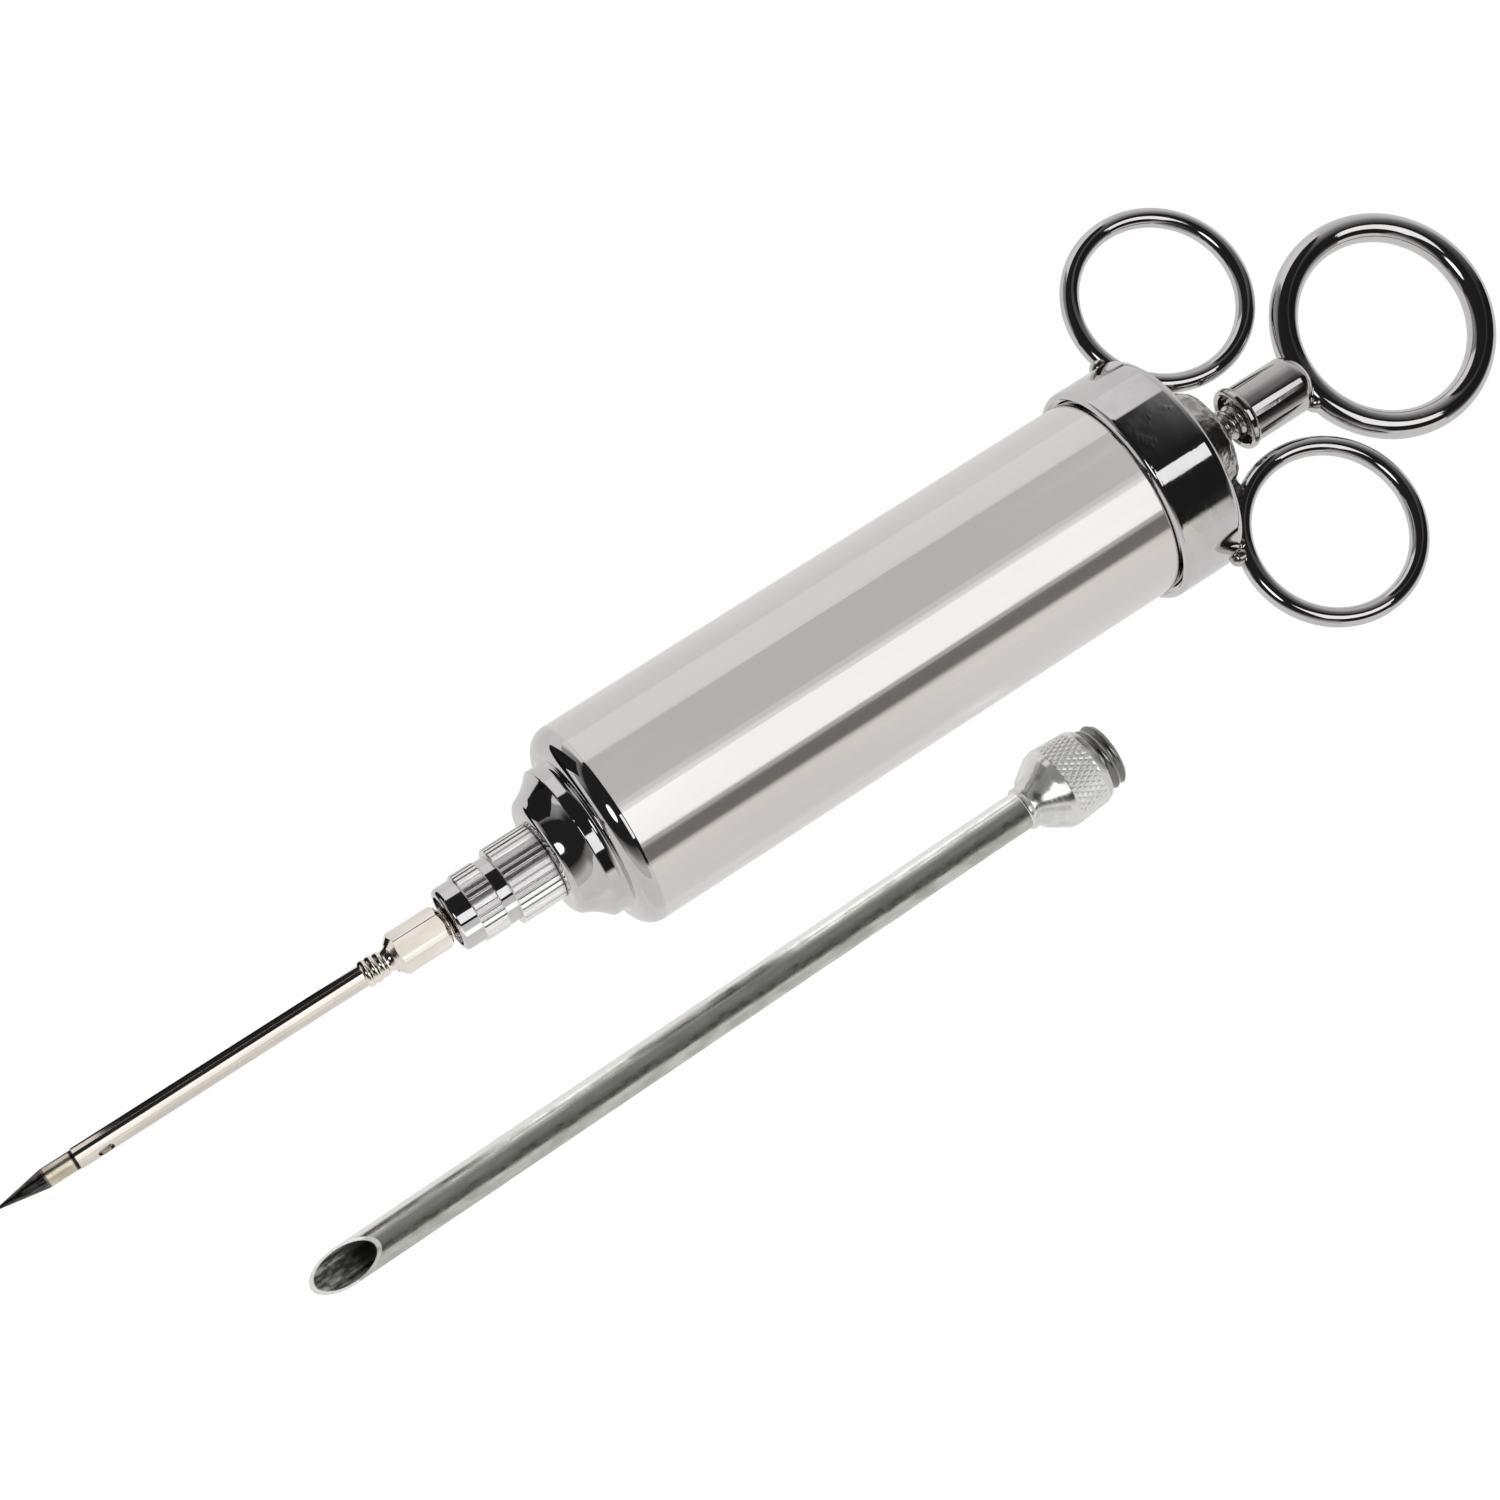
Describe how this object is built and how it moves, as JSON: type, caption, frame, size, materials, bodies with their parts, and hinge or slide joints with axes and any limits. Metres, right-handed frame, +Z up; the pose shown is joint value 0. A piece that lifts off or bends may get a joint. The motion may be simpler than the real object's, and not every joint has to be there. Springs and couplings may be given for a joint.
{
  "type": "meat injector",
  "caption": "Stainless marinade syringe with finger rings, a thumb-ring plunger, a hollow needle on a knurled screw adapter, and a wide slant-cut spare needle beside it.",
  "frame": {"origin": "on the barrel axis, midway along the bare polished length of the barrel", "axes": "+X from the needle to the thumb ring along the barrel, finger rings in the XY plane, +Z up from the surface that the tool lies on"},
  "size_m": [0.2573, 0.0734, 0.0348],
  "materials": {
    "polished_steel": "polished stainless, faint lengthwise grain",
    "bright_chrome": "mirror plate",
    "cast_boss": "plated casting, slightly mottled",
    "braze_metal": "bright braze",
    "turned_steel": "fine turned stainless",
    "seal_rubber": "smooth food-grade rubber",
    "white_nylon": "white sealing plastic",
    "needle_steel": "bright nickel-toned stainless",
    "tip_steel": "ground point, warm tone",
    "mill_steel": "drawn tube, mill finish",
    "satin_steel": "satin turned stainless"
  },
  "bodies": {
    "barrel": {"barrel_tube": "polished_steel", "front_cap": "bright_chrome"},
    "cap_gasket": {"rear_cap_gasket": "seal_rubber"},
    "cap": {"rear_cap": "bright_chrome", "finger_yoke": "cast_boss", "finger_ring_left": "bright_chrome", "finger_ring_right": "bright_chrome", "ring_braze_beads": "braze_metal", "rod_guide_bush": "white_nylon"},
    "piston_seals": {"piston_o_ring_front": "seal_rubber", "piston_o_ring_rear": "seal_rubber"},
    "plunger": {"piston_body": "turned_steel", "piston_washer": "turned_steel", "piston_nut": "turned_steel", "plunger_rod": "turned_steel", "thumb_hub": "bright_chrome", "thumb_ring": "bright_chrome"},
    "adapter_seal": {"adapter_washer": "white_nylon"},
    "adapter": {"needle_adapter": "bright_chrome"},
    "needle_seal": {"needle_washer": "white_nylon"},
    "needle": {"needle_hub": "needle_steel", "needle_tube": "needle_steel", "needle_tip": "tip_steel"},
    "spare_needle": {"spare_needle_tube": "mill_steel", "spare_needle_hub": "satin_steel"}
  },
  "joints": [
    {"name": "cap_back_off", "type": "slide", "parent": "barrel", "child": "cap_gasket", "axis": [1, 0, 0], "range_m": [0, 0.0075]},
    {"name": "cap_unscrew", "type": "hinge", "parent": "cap_gasket", "child": "cap", "pos_m": [0.0452, 0, 0], "axis": [1, 0, 0], "range_deg": [0, 1800.1]},
    {"name": "plunger_slide", "type": "slide", "parent": "cap_gasket", "child": "piston_seals", "axis": [1, 0, 0], "range_m": [0, 0.082]},
    {"name": "plunger_spin", "type": "hinge", "parent": "piston_seals", "child": "plunger", "pos_m": [0, 0, 0], "axis": [1, 0, 0], "continuous": true},
    {"name": "adapter_back_off", "type": "slide", "parent": "barrel", "child": "adapter_seal", "axis": [-1, 0, 0], "range_m": [0, 0.006]},
    {"name": "adapter_unscrew", "type": "hinge", "parent": "adapter_seal", "child": "adapter", "pos_m": [-0.055, 0, 0], "axis": [-1, 0, 0], "range_deg": [0, 2160.1]},
    {"name": "needle_back_off", "type": "slide", "parent": "adapter", "child": "needle_seal", "axis": [-1, 0, 0], "range_m": [0, 0.00675]},
    {"name": "needle_unscrew", "type": "hinge", "parent": "needle_seal", "child": "needle", "pos_m": [-0.0708, 0, 0], "axis": [-1, 0, 0], "range_deg": [0, 3240.1]},
    {"name": "spare_needle_lift", "type": "slide", "parent": "barrel", "child": "spare_needle", "axis": [0, 0, 1], "range_m": [0, 0.06]}
  ],
  "couplings": [
    {"joint": "cap_unscrew", "follows": "cap_back_off", "rad_per_m": 4188.8},
    {"joint": "adapter_unscrew", "follows": "adapter_back_off", "rad_per_m": 6283.2},
    {"joint": "needle_unscrew", "follows": "needle_back_off", "rad_per_m": 8377.6}
  ]
}
